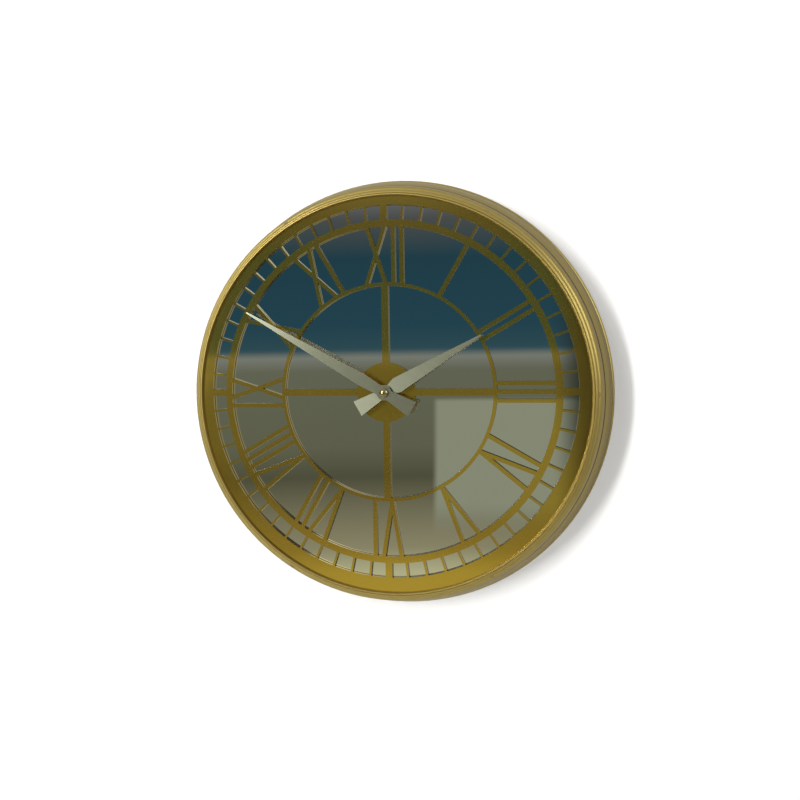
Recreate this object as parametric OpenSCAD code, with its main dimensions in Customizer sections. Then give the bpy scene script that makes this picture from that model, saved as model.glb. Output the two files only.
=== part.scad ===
// Round wall clock: a gold skeleton dial lying on a silver mirror, in a stepped gold moulding,
// with two flat hands and a quartz movement behind the backboard.
// Millimetres. The back rim lies on the wall plane, the hands' axis runs along Y through the
// origin, the dial faces -Y and twelve o'clock is up (+Z).

/* [Frame] */
// Wall to the crest of the frame's lip
frame_depth = 42; // [41:0.5:60]
// Opening inside the lip
opening_d = 359; // [352:1:372]
// Thickness of the lip in front of the dial
lip_t = 2.8; // [2.2:0.1:4]
// How far the lip reaches over the edge of the sheets
lip_cover = 6; // [5.8:0.1:6.4]
// Diameter of the bead along the lip's edge
bead_d = 2; // [1.2:0.1:2.2]
// Width of the front band, from the opening to the step
front_band_w = 8.2; // [8:0.1:11]
// Drop of the front band towards the wall
front_band_drop = 4.4; // [3:0.1:6]
// Number of flat reeds on the front band
front_reeds = 2; // [1:1:3]
// Width of the reeded riser
riser_w = 3.7; // [2.6:0.1:5]
// Drop of the reeded riser
riser_drop = 15.2; // [13:0.1:16]
// Number of reeds on the riser
reeds = 3; // [2:1:5]
// How far each reed stands proud
reed_t = 0.6; // [0.2:0.1:0.8]
// Width of the lower band
lower_band_w = 7.2; // [6:0.1:9]
// Drop of the lower band
lower_band_drop = 17.4; // [14:0.1:17.5]
// Width of the rim below the lower band
rim_w = 2; // [1.8:0.1:4]
// Diameter of the bead at the wall
rim_bead_d = 2.4; // [1.6:0.1:3]
// Depth of the two grooves between the bands
groove_t = 0.7; // [0.3:0.1:0.9]
// Wall of the hollow moulding
wall_t = 2.4; // [2:0.1:2.8]
// How far the hands' axis lies above the frame's centre
axis_rise = 2.6; // [0:0.1:4]

/* [Sheets] */
// Thickness of the acrylic dial
dial_t = 3; // [2:0.1:4]
// Thickness of the mirror
mirror_t = 3; // [2:0.1:4]
// Thickness of the backboard
board_t = 5; // [3:0.1:6]
// Play between the sheets' edge and the frame
sheet_gap = 0.4; // [0.2:0.05:0.6]

/* [Dial pattern] */
// Width of the plain band between the opening and the minute track's windows
dial_band_w = 10.5; // [6:0.1:14]
// Radial height of the minute track's windows
track_w = 13.3; // [9:0.1:18]
// Width of the thin minute bars
minute_bar_w = 2; // [1.2:0.1:3]
// Width of the quarter bars and the four cross-bars
bar_w = 6.3; // [4:0.1:9]
// Width of the chapter ring inside the minute track
chapter_w = 6.1; // [4:0.1:9]
// Radial height of the numerals
numeral_h = 50.2; // [42:0.1:56]
// Width of every numeral stroke
stroke_w = 3.7; // [2.4:0.1:5]
// Overall width of the letters V and X
letter_w = 20.3; // [16:0.1:24]
// Space between the letters of a numeral
letter_gap = 4; // [2:0.1:5]
// Width of the ring at the numerals' feet
ring_w = 3.1; // [2:0.1:6]
// Diameter of the hub disc
hub_d = 54; // [36:1:80]

/* [Hands] */
// Length of the minute hand from its pivot
minute_len = 150; // [120:1:165]
// Length of the hour hand from its pivot
hour_len = 100; // [70:1:118]
// Greatest width of the blade
hand_w = 10; // [8:0.1:13]
// Distance of the greatest width from the pivot
hand_belly = 17; // [12:0.5:30]
// Width at the waist beside the hub
waist_w = 7.6; // [5:0.1:8]
// Length of the flared tail
tail_len = 29; // [18:0.5:40]
// Width of the tail at its end
tail_w = 14.8; // [9:0.1:20]
// Width of the blunt tip
tip_w = 0.6; // [0.4:0.1:1.5]
// Diameter of the hub disc in each hand
hand_hub_d = 12; // [10:0.1:16]
// Thickness of the sheet that the hands are cut from
hand_t = 0.6; // [0.4:0.1:1]
// Height of the collar riveted under each hand
collar_h = 1.6; // [1.2:0.1:2.5]
// Wall of that collar
collar_wall = 1.5; // [0.8:0.1:2]
// Space between the hour hand and the minute hand's collar
hand_gap = 0.5; // [0.4:0.1:2]
// Clock angle of the minute hand, clockwise from twelve
minute_at = 300; // [0:1:359]
// Clock angle of the hour hand, clockwise from twelve
hour_at = 60; // [0:1:359]
// Diameter of the cap nut
cap_d = 7.4; // [6.4:0.1:10]
// Height of the cap nut's straight side
cap_side = 2; // [1.6:0.1:3]
// Height of the cap nut's dome
cap_dome = 1.5; // [1:0.1:2.5]
// Depth of the thread inside the cap nut
cap_thread = 2.2; // [1.4:0.1:2.4]

/* [Fixings] */
// Number of retaining screws round the board
retainers = 6; // [4:1:8]
// Diameter of the bosses that take them
boss_d = 5.2; // [4.8:0.1:5.6]
// Play round each boss in the sheets' notches
notch_gap = 0.4; // [0.2:0.1:0.6]
// Shank diameter of all wood-thread screws
screw_d = 2.4; // [2:0.1:3]
// Head diameter of the screws
screw_head_d = 5.6; // [4.6:0.1:6.5]
// Head height of the screws
screw_head_h = 1.6; // [1.2:0.1:2]
// Shank length of the retaining screws
screw_len = 8.5; // [6:0.5:9]
// Shank length of the hanger screws
hanger_screw_len = 9; // [6:0.5:11]
// Width of the retaining clips
clip_w = 6; // [5.6:0.1:6.6]
// Reach of the retaining clips from the screw towards the centre
clip_len = 14; // [10:0.5:20]
// Thickness of the retaining clips
clip_t = 1; // [0.6:0.1:1.5]
// Radial play of a shank in its clip or plate
screw_play = 0.3; // [0.1:0.05:0.5]
// Gap drawn between pieces that are pressed or screwed together
tight = 0.02; // [0.01:0.005:0.04]
// Thickness of the hanger plate
hanger_t = 1.5; // [1:0.1:1.8]
// Height of the plate's front face over the wall
hanger_z = 4; // [3.9:0.1:5]
// Distance between the two hanger screws
hanger_span = 60; // [44:1:80]
// Diameter of the bosses under the plate
hanger_boss_d = 8; // [6.5:0.1:8.4]
// Distance from the riser's foot back to the end of the bosses
hanger_boss_sink = 4.4; // [4:0.1:5.4]
// Width of the plate's arms
hanger_arm_w = 10; // [7:0.5:12]
// Diameter of the plate's middle
hanger_mid_d = 18; // [15:0.5:18.5]
// Diameter of the keyhole's entry
key_d = 9; // [7:0.1:10]
// Width of the keyhole's slot
key_slot_w = 4.4; // [3.5:0.1:4.6]
// Travel from the entry's centre to the slot's end
key_travel = 6; // [5.5:0.1:7]

/* [Movement case] */
// Width and height of the movement
case_w = 56; // [50:0.1:62]
// Radius of the case's corners
case_corner = 3; // [1:0.5:5]
// Wall thickness of the case
case_wall = 1.4; // [1.2:0.05:1.6]
// Thickness of the rubber gasket
gasket_t = 1; // [0.6:0.1:1.2]
// Outer diameter of the gasket
gasket_d = 20; // [14:0.5:30]
// Outer diameter of the threaded bush
bush_d = 8; // [7.4:0.1:9]
// Radial play of the bush in the sheets
bush_play = 0.2; // [0.1:0.05:0.4]
// Outer diameter of the brass washer
seat_washer_d = 13; // [12:0.1:16]
// Thickness of the brass washer
seat_washer_t = 0.6; // [0.4:0.1:1]
// Width across flats of the fixing nut
nut_af = 11; // [10.6:0.1:14]
// Height of the fixing nut
nut_h = 2.8; // [2:0.1:3.5]
// Thread standing out of the nut
bush_out = 0.9; // [0.4:0.1:2]
// Diameter of the flange behind the case's front wall
flange_d = 12; // [10:0.1:14]
// Thickness of that flange
flange_t = 1; // [0.8:0.05:1.1]
// Gap between the hour wheel's teeth and the wall of the battery bay
bay_gap = 0.25; // [0.2:0.01:0.4]
// Diameter of the case's clamping posts
post_d = 2.6; // [2:0.1:2.8]

/* [Gear train] */
// Radius of the minute pipe
pipe_r = 1.75; // [1.6:0.05:1.85]
// Wall of the hour pipe
hour_pipe_wall = 0.7; // [0.5:0.05:0.9]
// Radial running play of pipes and pivots
run = 0.05; // [0.02:0.01:0.08]
// Radius of the small arbors
arbor_r = 0.5; // [0.4:0.02:0.54]
// Radius of the setting stem
stem_r = 1; // [0.8:0.05:1.2]
// Depth of the blind pivot holes
pivot_h = 0.8; // [0.5:0.05:0.9]
// Tooth module of the rotor pinion and fifth wheel
m_rotor = 0.25; // [0.24:0.005:0.26]
// Tooth module of the fifth pinion and fourth wheel, and of the fourth pinion and third wheel
m_train = 0.3; // [0.295:0.001:0.305]
// Tooth module of the cannon pinion and minute wheel
m_motion = 0.5; // [0.49:0.005:0.51]
// Diameter of the setting knob
knob_d = 10; // [8:0.1:13]
// Height of the setting knob
knob_h = 4.5; // [3:0.1:5]
// Number of flutes round the knob
knob_flutes = 16; // [13:1:24]
// Diameter of the rotor's magnet
magnet_d = 6; // [5:0.1:6.2]
// Air gap between magnet and stator
air_gap = 0.5; // [0.35:0.05:0.6]

/* [Drive and battery] */
// Diameter of the wound coil
coil_d = 7.2; // [6:0.1:7.4]
// Gap between the bobbin's ends and the stator's legs
coil_end_gap = 0.5; // [0.3:0.05:1]
// Width of the coil's core
core_w = 3; // [2.4:0.1:3.2]
// Thickness of the coil's core and of the stator
core_t = 1; // [0.8:0.05:1]
// Gap between the cell and the bay's long walls
cell_gap = 0.2; // [0.1:0.01:0.4]
// Travel of the sprung contact at the cell's flat end
spring_sag = 1.9; // [1.6:0.05:2.4]
// Diameter of the contact nub
nub_d = 5.5; // [4:0.1:6]
// Height of the contact nub
nub_h = 1.1; // [0.9:0.1:1.6]
// Thickness of the contact strips
strip_t = 0.4; // [0.3:0.05:0.5]
// Width of the contact strips
strip_w = 2.4; // [1.6:0.1:2.6]
// Thickness of the circuit board
pcb_t = 1; // [0.8:0.1:1.2]
// Diameter of the quartz crystal's can
crystal_d = 2; // [1.6:0.1:3]
// Length of the quartz crystal's can
crystal_len = 6; // [5:0.1:8]

/* [Hidden] */
$fn = 64;

// Moulding: radii and heights of the bands, and the seat behind the lip
lip_r = opening_d / 2;
step_r = lip_r + front_band_w;
step_z = frame_depth - front_band_drop;
foot_r = step_r + riser_w;
foot_z = step_z - riser_drop;
cove_r = foot_r + lower_band_w;
cove_z = foot_z - lower_band_drop;
rim_r = cove_r + rim_w;
seat_r = lip_r + lip_cover;
nick = 0.5;
front_reed_t = 0.8 / front_reeds;
groove_h = 1.1;

// Stack of sheets, front to back
dial_z = frame_depth - lip_t;
mirror_z = dial_z - dial_t;
board_z = mirror_z - mirror_t;
board_back = board_z - board_t;
sheet_r = seat_r - sheet_gap;
bush_hole_r = bush_d / 2 + bush_play;

// Dial pattern radii
track_r = lip_r - dial_band_w;
track_in_r = track_r - track_w;
chapter_in_r = track_in_r - chapter_w;
ring_out_r = chapter_in_r - numeral_h;
ring_in_r = ring_out_r - ring_w;
numerals = ["XII", "I", "II", "III", "IV", "V", "VI", "VII", "VIII", "IX", "X", "XI"];

// Retaining screws and hanger
boss_at_r = step_r - 1.2 - boss_d / 2;
relief_r = boss_at_r + clip_w / 2 + 0.7;
relief_h = 0.6;
boss_short = 0.2;
pilot_spare = 0.5;
hanger_r = foot_r - 2.2;
hanger_y = sqrt(pow(hanger_r, 2) - pow(hanger_span / 2, 2));
key_y = hanger_y - 2.5;
hanger_boss_h = foot_z - hanger_boss_sink - hanger_z;

// Movement: front face, inner face of the front wall, and levels behind it
case_front = board_back - gasket_t;
fz = case_front - case_wall;
chamber = 13.2;
cover_z = fz - chamber;
case_back = cover_z - case_wall;
half_w = case_w / 2;
inner_w = half_w - case_wall;
part_t = 1.4;
hour_wheel_z = fz - 2.7;
hour_wheel_t = 1.2;
minute_wheel_z = fz - 4.4;
wheel_t = 1;
centre_wheel_z = fz - 6;
plate_z = fz - 8;
plate_t = 1.4;
third_z = fz - 9.2;
third_t = 0.8;
fourth_z = fz - 10.6;
fourth_t = 0.9;
fifth_z = fz - 12.4;
magnet_z = fz - 10.9;
magnet_h = 2.2;
stator_z = fz - 10.6;
core_z = stator_z + core_t;
coil_z = core_z + core_t / 2;
pcb_z = cover_z + 1;
pcb_top = pcb_z + pcb_t;

// Wheel counts and centres
rotor_n = 10;
fifth_n = 60;
fifth_pinion_n = 10;
fourth_n = 50;
fourth_pinion_n = 8;
third_n = 60;
third_pinion_n = 8;
centre_n = 64;
cannon_n = 12;
minute_n = 36;
minute_pinion_n = 10;
hour_n = 40;
fifth_dist = m_train * (fifth_pinion_n + fourth_n) / 2;
third_dist = m_train * (fourth_pinion_n + third_n) / 2;
rotor_dist = m_rotor * (rotor_n + fifth_n) / 2;
minute_dist = m_motion * (cannon_n + minute_n) / 2;
m_centre = 2 * third_dist / (third_pinion_n + centre_n);
m_hour = 2 * minute_dist / (minute_pinion_n + hour_n);
fifth_at = 150;
third_at = 75;
rotor_at = 120;
minute_wheel_at = 15;
fifth_p = fifth_dist * [cos(fifth_at), sin(fifth_at)];
third_p = third_dist * [cos(third_at), sin(third_at)];
rotor_p = fifth_p + rotor_dist * [cos(rotor_at), sin(rotor_at)];
minute_p = minute_dist * [cos(minute_wheel_at), sin(minute_wheel_at)];
tooth_add = 0.9;
tooth_ded = 1.3;
tip_share = 0.12;
root_share = 0.22;

// Hands' heights on the pipes
hour_pipe_in = pipe_r + run;
hour_pipe_r = hour_pipe_in + hour_pipe_wall;
bush_top = dial_z + seat_washer_t + nut_h + bush_out;
hour_collar_z = bush_top + 0.4;
hour_blade_z = hour_collar_z + collar_h;
minute_collar_z = hour_blade_z + hand_t + hand_gap;
minute_blade_z = minute_collar_z + collar_h;
cap_z = minute_blade_z + hand_t;
cap_thread_r = pipe_r - 0.35;
cap_r = cap_d / 2;
dome_r = (pow(cap_r, 2) + pow(cap_dome, 2)) / (2 * cap_dome);

// Drive pieces and battery
bay_y = -m_hour * (hour_n / 2 + tooth_add) - bay_gap;
leg_w = 4;
stator_h = 7.6;
stator_top = rotor_p[1] + stator_h / 2;
coil_y = (stator_top + inner_w) / 2;
leg_left = -inner_w + 4;
leg_right = -2.8;
coil_x = (leg_left + leg_right) / 2;
coil_len = leg_right - leg_left - leg_w - 2 * coil_end_gap;
bobbin_wall = 0.6;
bobbin_flange_t = 0.8;
bobbin_flange_r = coil_d / 2 + 0.3;
cell_d = inner_w + bay_y - part_t - 2 * cell_gap;
cell_len = 2 * (inner_w - strip_t) - spring_sag;
cell_z = fz - 0.3 - cell_d / 2;
cell_y = bay_y - part_t - cell_gap - cell_d / 2;
cell_left = -inner_w + strip_t;
cell_right = cell_left + cell_len;
strip_z = pcb_z;
post_x = 17;
post_low = -7;
post_high = 15;
plate_margin = 2.5;
plate_low = bay_y + 0.6;
plate_high = coil_y - bobbin_flange_r - 0.3;
plate_posts = [[-post_x, post_low], [post_x, post_low], [post_x, post_high]];
rear_posts = [[post_x, post_low], [post_x, post_high]];
pcb_left = post_x - 3.5;
pcb_right = inner_w - 1.4;
pcb_low = bay_y + 0.8;
pcb_high = inner_w - 2.6;
pcb_hole_gap = 0.3;
chip_x = (pcb_left + pcb_right) / 2;
chip_y = 4;
chip_r = 4;
crystal_x = pcb_right - 2.6;
crystal_y = chip_y + chip_r + 1.5;

// Points of a bulging stretch between two points, end points left out
function bulge(p, q, h, n) = [for (i = [1 : n - 1])
    let (t = i / n, d = q - p, w = 4 * h * t * (1 - t) / norm(d))
    p + d * t + w * [-d[1], d[0]]];

// Points of an arc round c from angle a to angle b
function arc(c, r, a, b, n) = [for (i = [0 : n])
    let (t = a + (b - a) * i / n)
    c + r * [cos(t), sin(t)]];

// Outer edge of the moulding's section, from the lip back to the wall
function front_start() = [lip_r + bead_d + nick, frame_depth - nick];
function front_point(i) = front_start() + ([step_r, step_z] - front_start()) * i / front_reeds;
function riser_end() = [foot_r, foot_z];
function riser_start() = [step_r, step_z - 2 * nick];
function reed_point(i) = riser_start() + (riser_end() - riser_start()) * i / reeds;
function outer_edge() = concat(
    [[lip_r, dial_z]],
    arc([lip_r + bead_d / 2, frame_depth - bead_d / 2], bead_d / 2, 180, 0, 8),
    [[lip_r + bead_d, frame_depth - bead_d * 0.55]],
    [for (i = [0 : front_reeds - 1]) each concat([front_point(i)],
        bulge(front_point(i), front_point(i + 1), front_reed_t, 5))],
    [[step_r, step_z], [step_r - nick, step_z - nick]],
    [for (i = [0 : reeds - 1]) each concat([reed_point(i)],
        bulge(reed_point(i), reed_point(i + 1), reed_t, 5))],
    [riser_end(), [foot_r - groove_t, foot_z - 0.2]],
    [[foot_r - groove_t, foot_z - groove_h]],
    [[foot_r + 0.3, foot_z - groove_h]],
    bulge([foot_r + 0.3, foot_z - groove_h], [cove_r, cove_z], 1.1, 7),
    [[cove_r, cove_z], [cove_r - groove_t, cove_z - 0.3]],
    [[cove_r - groove_t, cove_z - groove_h]],
    [[cove_r + 0.2, cove_z - groove_h]],
    bulge([cove_r + 0.2, cove_z - groove_h], [rim_r - 0.5, rim_bead_d], 0.4, 3),
    arc([rim_r - rim_bead_d / 2, rim_bead_d / 2], rim_bead_d / 2, 60, -60, 6),
    [[rim_r - rim_bead_d / 2, 0]]);

// Inner edge of the section, from the wall forward to the seat behind the lip
function inner_edge() = [
    [rim_r - wall_t, 0],
    [cove_r - wall_t, cove_z - 1],
    [foot_r - wall_t, foot_z - 1],
    [relief_r, board_back + relief_h],
    [seat_r, board_back + relief_h],
    [seat_r, dial_z]];

// Stands the clock upright: local Z, out of the dial, becomes world -Y
module upright() {
    rotate([90, 0, 0])
        children();
}

// Solid of revolution round the hands' axis between two heights
module disc(r, z, h) {
    translate([0, 0, z])
        cylinder(h = h, r = r);
}

// Round hole through everything from height z over h
module bore(r, z, h) {
    translate([0, 0, z - 0.5])
        cylinder(h = h + 1, r = r);
}

// Moves what is centred on the frame down from the hands' axis
module in_frame() {
    translate([0, -axis_rise, 0])
        children();
}

// Copies round the frame at every retaining screw
module at_retainers() {
    for (i = [0 : retainers - 1])
        rotate([0, 0, i * 360 / retainers])
            translate([boss_at_r, 0, 0])
                children();
}

// Copies at both hanger screws
module at_hanger() {
    for (s = [-1, 1])
        translate([s * hanger_span / 2, hanger_y, 0])
            children();
}

// Toothed outline whose first tooth lies at angle 0
function teeth(n, m) = [for (i = [0 : n - 1], k = [0 : 3])
    let (s = k < 2 ? -1 : 1, tip = k == 1 || k == 2)
    let (a = 360 / n * (i + s * (tip ? tip_share : root_share)))
    m * (n / 2 + (tip ? tooth_add : -tooth_ded)) * [cos(a), sin(a)]];

// Toothed disc: a driver has a tooth towards its mate, a driven one has a gap there
module gear(n, m, z, h, towards, gap) {
    translate([0, 0, z])
        rotate([0, 0, towards + (gap ? 180 / n : 0)])
            linear_extrude(height = h)
                polygon(teeth(n, m));
}

// Gear with four round lightening holes
module light_gear(n, m, z, h, towards, gap, hole_r) {
    difference() {
        gear(n, m, z, h, towards, gap);
        for (i = [0 : 3])
            rotate([0, 0, 45 + 90 * i])
                translate([m * n * 0.29, 0, 0])
                    bore(hole_r, z, h);
    }
}

// Hollow moulding with screw bosses behind the lip and two bosses for the hanger
module frame() {
    color([0.66, 0.57, 0.33])
        upright()
            in_frame()
                difference() {
                    union() {
                        rotate_extrude($fn = 128)
                            polygon(concat(outer_edge(), inner_edge()));
                        at_retainers()
                            disc(boss_d / 2, board_back + boss_short, dial_z - board_back - boss_short + 0.5);
                        at_hanger()
                            disc(hanger_boss_d / 2, hanger_z, hanger_boss_h);
                    }
                    at_retainers()
                        disc(screw_d / 2 + tight, board_back, screw_len - clip_t + pilot_spare);
                    at_hanger()
                        disc(screw_d / 2 + tight, hanger_z - 1, hanger_screw_len - hanger_t + pilot_spare + 1);
                }
}

// One letter of a numeral, foot towards the centre, its left edge at x
module letter(c, x) {
    low = ring_in_r - 4;
    high = track_in_r;
    rise = high - low;
    mid = (ring_out_r + chapter_in_r) / 2;
    lean = (letter_w - stroke_w) / numeral_h;
    if (c == "I")
        translate([x, low])
            square([stroke_w, rise]);
    if (c == "V")
        for (s = [-1, 1])
            translate([x + letter_w / 2, 0])
                polygon([
                    [s * (low - ring_out_r) * lean / 2 - stroke_w / 2, low],
                    [s * (low - ring_out_r) * lean / 2 + stroke_w / 2, low],
                    [s * (high - ring_out_r) * lean / 2 + stroke_w / 2, high],
                    [s * (high - ring_out_r) * lean / 2 - stroke_w / 2, high]]);
    if (c == "X")
        for (s = [-1, 1])
            translate([x + letter_w / 2, 0])
                polygon([
                    [s * (low - mid) * lean - stroke_w / 2, low],
                    [s * (low - mid) * lean + stroke_w / 2, low],
                    [s * (high - mid) * lean + stroke_w / 2, high],
                    [s * (high - mid) * lean - stroke_w / 2, high]]);
}

// Letter widths and where each letter of a numeral starts
function letter_span(c) = c == "I" ? stroke_w : letter_w;
function before(s, i) = i == 0 ? 0 : before(s, i - 1) + letter_span(s[i - 1]) + letter_gap;
function numeral_span(s) = before(s, len(s)) - letter_gap;

// Flat outline of the skeleton dial
module dial_outline() {
    ring_mid_r = (ring_in_r + ring_out_r) / 2;
    chapter_mid_r = (chapter_in_r + track_in_r) / 2;
    difference() {
        translate([0, -axis_rise])
            circle(r = sheet_r, $fn = 128);
        circle(r = track_r, $fn = 128);
    }
    difference() {
        circle(r = track_in_r, $fn = 128);
        circle(r = chapter_in_r, $fn = 128);
    }
    difference() {
        circle(r = ring_out_r, $fn = 128);
        circle(r = ring_in_r, $fn = 128);
    }
    circle(r = hub_d / 2, $fn = 96);
    for (i = [0 : 59])
        rotate(-6 * i)
            translate([-(i % 15 == 0 ? bar_w : minute_bar_w) / 2, track_in_r - 1])
                square([i % 15 == 0 ? bar_w : minute_bar_w, track_w + 2]);
    for (i = [0 : 3])
        rotate(90 * i)
            translate([-bar_w / 2, hub_d / 2 - 2])
                square([bar_w, ring_in_r - hub_d / 2 + 3]);
    difference() {
        intersection() {
            circle(r = chapter_mid_r, $fn = 128);
            for (h = [0 : 11])
                rotate(-30 * h)
                    for (i = [0 : len(numerals[h]) - 1])
                        letter(numerals[h][i], before(numerals[h], i) - numeral_span(numerals[h]) / 2);
        }
        circle(r = ring_mid_r, $fn = 128);
    }
}

// Notches round the screw bosses and the hole for the bush, cut through a sheet
module sheet_cuts(z, h) {
    in_frame()
        at_retainers()
            bore(boss_d / 2 + notch_gap, z, h);
    bore(bush_hole_r, z, h);
}

// Skeleton dial cut from mirror acrylic, lying on the mirror
module dial() {
    color([0.72, 0.6, 0.24])
        upright()
            difference() {
                translate([0, 0, mirror_z])
                    linear_extrude(height = dial_t)
                        dial_outline();
                sheet_cuts(mirror_z, dial_t);
            }
}

// Round silver mirror
module mirror_sheet() {
    color([0.72, 0.75, 0.76])
        upright()
            difference() {
                in_frame()
                    disc(sheet_r, board_z, mirror_t);
                sheet_cuts(board_z, mirror_t);
            }
}

// Fibre backboard
module backboard() {
    color([0.45, 0.34, 0.24])
        upright()
            difference() {
                in_frame()
                    disc(sheet_r, board_back, board_t);
                sheet_cuts(board_back, board_t);
            }
}

// Pan-head screw with its head's seat at z, pointing to the front
module screw(z, length) {
    difference() {
        union() {
            disc(screw_head_d / 2, z - screw_head_h, screw_head_h);
            disc(screw_d / 2, z - 0.1, length + 0.1);
        }
        for (a = [0, 90])
            rotate([0, 0, a])
                translate([-screw_head_d * 0.3, -0.3, z - screw_head_h - 1])
                    cube([screw_head_d * 0.6, 0.6, 1.8]);
    }
}

// Screws that clamp the sheets against the lip
module retaining_screws() {
    color([0.6, 0.6, 0.62])
        upright()
            in_frame()
                at_retainers()
                    screw(board_back - clip_t, screw_len);
}

// Steel turn clips that bear on the board's edge
module retaining_clips() {
    color([0.68, 0.69, 0.7])
        upright()
            in_frame()
                at_retainers()
                    translate([0, 0, board_back - clip_t])
                        linear_extrude(height = clip_t)
                            difference() {
                                union() {
                                    circle(d = clip_w);
                                    translate([-clip_len, -clip_w / 2])
                                        square([clip_len, clip_w]);
                                    translate([-clip_len, 0])
                                        circle(d = clip_w);
                                }
                                circle(r = screw_d / 2 + screw_play);
                            }
}

// Steel hanger with a keyhole, on two bosses at the top of the back
module hanger_plate() {
    color([0.62, 0.63, 0.65])
        upright()
            translate([0, -axis_rise, hanger_z - hanger_t])
                difference() {
                    linear_extrude(height = hanger_t)
                        difference() {
                            union() {
                                translate([0, hanger_y])
                                    circle(d = hanger_mid_d);
                                translate([-hanger_span / 2, hanger_y - hanger_arm_w / 2])
                                    square([hanger_span, hanger_arm_w]);
                                for (s = [-1, 1])
                                    translate([s * hanger_span / 2, hanger_y])
                                        circle(d = hanger_arm_w);
                            }
                            translate([0, key_y])
                                circle(d = key_d);
                            translate([0, key_y + key_travel])
                                circle(d = key_slot_w);
                            translate([-key_slot_w / 2, key_y])
                                square([key_slot_w, key_travel]);
                        }
                    at_hanger()
                        bore(screw_d / 2 + screw_play, 0, hanger_t);
                }
}

// Screws of the hanger
module hanger_screws() {
    color([0.6, 0.6, 0.62])
        upright()
            in_frame()
                at_hanger()
                    screw(hanger_z - hanger_t, hanger_screw_len);
}

// Flat outline of a hand pointing up, with a straight taper and a flared tail
module hand_outline(length) {
    polygon([
        [-tip_w / 2, length],
        [tip_w / 2, length],
        [hand_w / 2, hand_belly],
        [waist_w / 2, hand_hub_d / 4],
        [waist_w / 2, -hand_hub_d / 4],
        [tail_w / 2, -tail_len],
        [-tail_w / 2, -tail_len],
        [-waist_w / 2, -hand_hub_d / 4],
        [-waist_w / 2, hand_hub_d / 4],
        [-hand_w / 2, hand_belly]]);
    circle(d = hand_hub_d);
}

// Sheet hand with a riveted collar, pressed on a pipe of radius r
module hand(length, at, collar_z, r) {
    upright()
        rotate([0, 0, -at])
            difference() {
                union() {
                    translate([0, 0, collar_z + collar_h])
                        linear_extrude(height = hand_t)
                            hand_outline(length);
                    disc(r + collar_wall, collar_z, collar_h);
                }
                bore(r + tight, collar_z, collar_h + hand_t);
            }
}

module hour_hand() {
    color([0.6, 0.57, 0.45])
        hand(hour_len, hour_at, hour_collar_z, hour_pipe_r);
}

module minute_hand() {
    color([0.6, 0.57, 0.45])
        hand(minute_len, minute_at, minute_collar_z, pipe_r);
}

// Domed nut over the minute hand
module cap_nut() {
    color([0.82, 0.78, 0.62])
        upright()
            difference() {
                union() {
                    disc(cap_r, cap_z, cap_side);
                    intersection() {
                        translate([0, 0, cap_z + cap_side + cap_dome - dome_r])
                            sphere(r = dome_r);
                        disc(cap_r, cap_z + cap_side - 0.2, cap_dome + 1);
                    }
                }
                disc(cap_thread_r + tight, cap_z - 1, cap_thread + 1);
            }
}

// Washer between the dial and the fixing nut
module brass_washer() {
    color([0.78, 0.66, 0.36])
        upright()
            difference() {
                disc(seat_washer_d / 2, dial_z, seat_washer_t);
                bore(bush_hole_r, dial_z, seat_washer_t);
            }
}

// Hexagon nut that clamps the sheets to the movement
module fixing_nut() {
    color([0.78, 0.66, 0.36])
        upright()
            difference() {
                translate([0, 0, dial_z + seat_washer_t])
                    cylinder(h = nut_h, r = nut_af / 2 / cos(30), $fn = 6);
                bore(bush_d / 2 + tight, dial_z + seat_washer_t, nut_h);
            }
}

// Threaded neck of the movement, with a flange behind the case's front wall
module threaded_bush() {
    color([0.76, 0.65, 0.36])
        upright()
            difference() {
                union() {
                    disc(flange_d / 2, fz - flange_t, flange_t);
                    disc(bush_d / 2, fz - flange_t, bush_top - fz + flange_t);
                }
                bore(hour_pipe_r + run, fz - flange_t, bush_top - fz + flange_t);
            }
}

// Soft ring between the movement and the backboard
module rubber_gasket() {
    color([0.1, 0.1, 0.1])
        upright()
            difference() {
                disc(gasket_d / 2, case_front, gasket_t);
                bore(bush_hole_r, case_front, gasket_t);
            }
}

// Square with round corners, half width w
module rounded(w, r) {
    square([2 * w, 2 * (w - r)], center = true);
    square([2 * (w - r), 2 * w], center = true);
    for (x = [-1, 1], y = [-1, 1])
        translate([x * (w - r), y * (w - r)])
            circle(r = r);
}

// Front half of the case: front wall, sides, wall of the battery bay and clamping posts
module front_case() {
    color([0.12, 0.12, 0.13])
        upright()
            difference() {
                union() {
                    difference() {
                        translate([0, 0, cover_z])
                            linear_extrude(height = case_front - cover_z)
                                rounded(half_w, case_corner);
                        translate([0, 0, cover_z - 1])
                            linear_extrude(height = chamber + 1)
                                rounded(inner_w, case_corner / 2);
                    }
                    translate([-inner_w - 0.1, bay_y - part_t, cover_z])
                        cube([2 * inner_w + 0.2, part_t, chamber + 0.1]);
                    for (p = plate_posts)
                        translate([p[0], p[1], 0])
                            disc(post_d / 2, plate_z + plate_t, fz - plate_z - plate_t + 0.1);
                    for (x = [leg_left, leg_right])
                        translate([x, coil_y, 0])
                            disc(post_d / 2, core_z + core_t, fz - core_z - core_t + 0.1);
                }
                bore(bush_d / 2 + tight, fz, case_wall);
                translate([minute_p[0], minute_p[1], fz - 0.1])
                    cylinder(h = pivot_h + 0.2, r = arbor_r + run);
                for (s = [-1, 1])
                    translate([s * inner_w - 0.8, bay_y - part_t - 0.5, cover_z - 1])
                        cube([1.6, part_t + 1, strip_w + 2.4]);
            }
}

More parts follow.
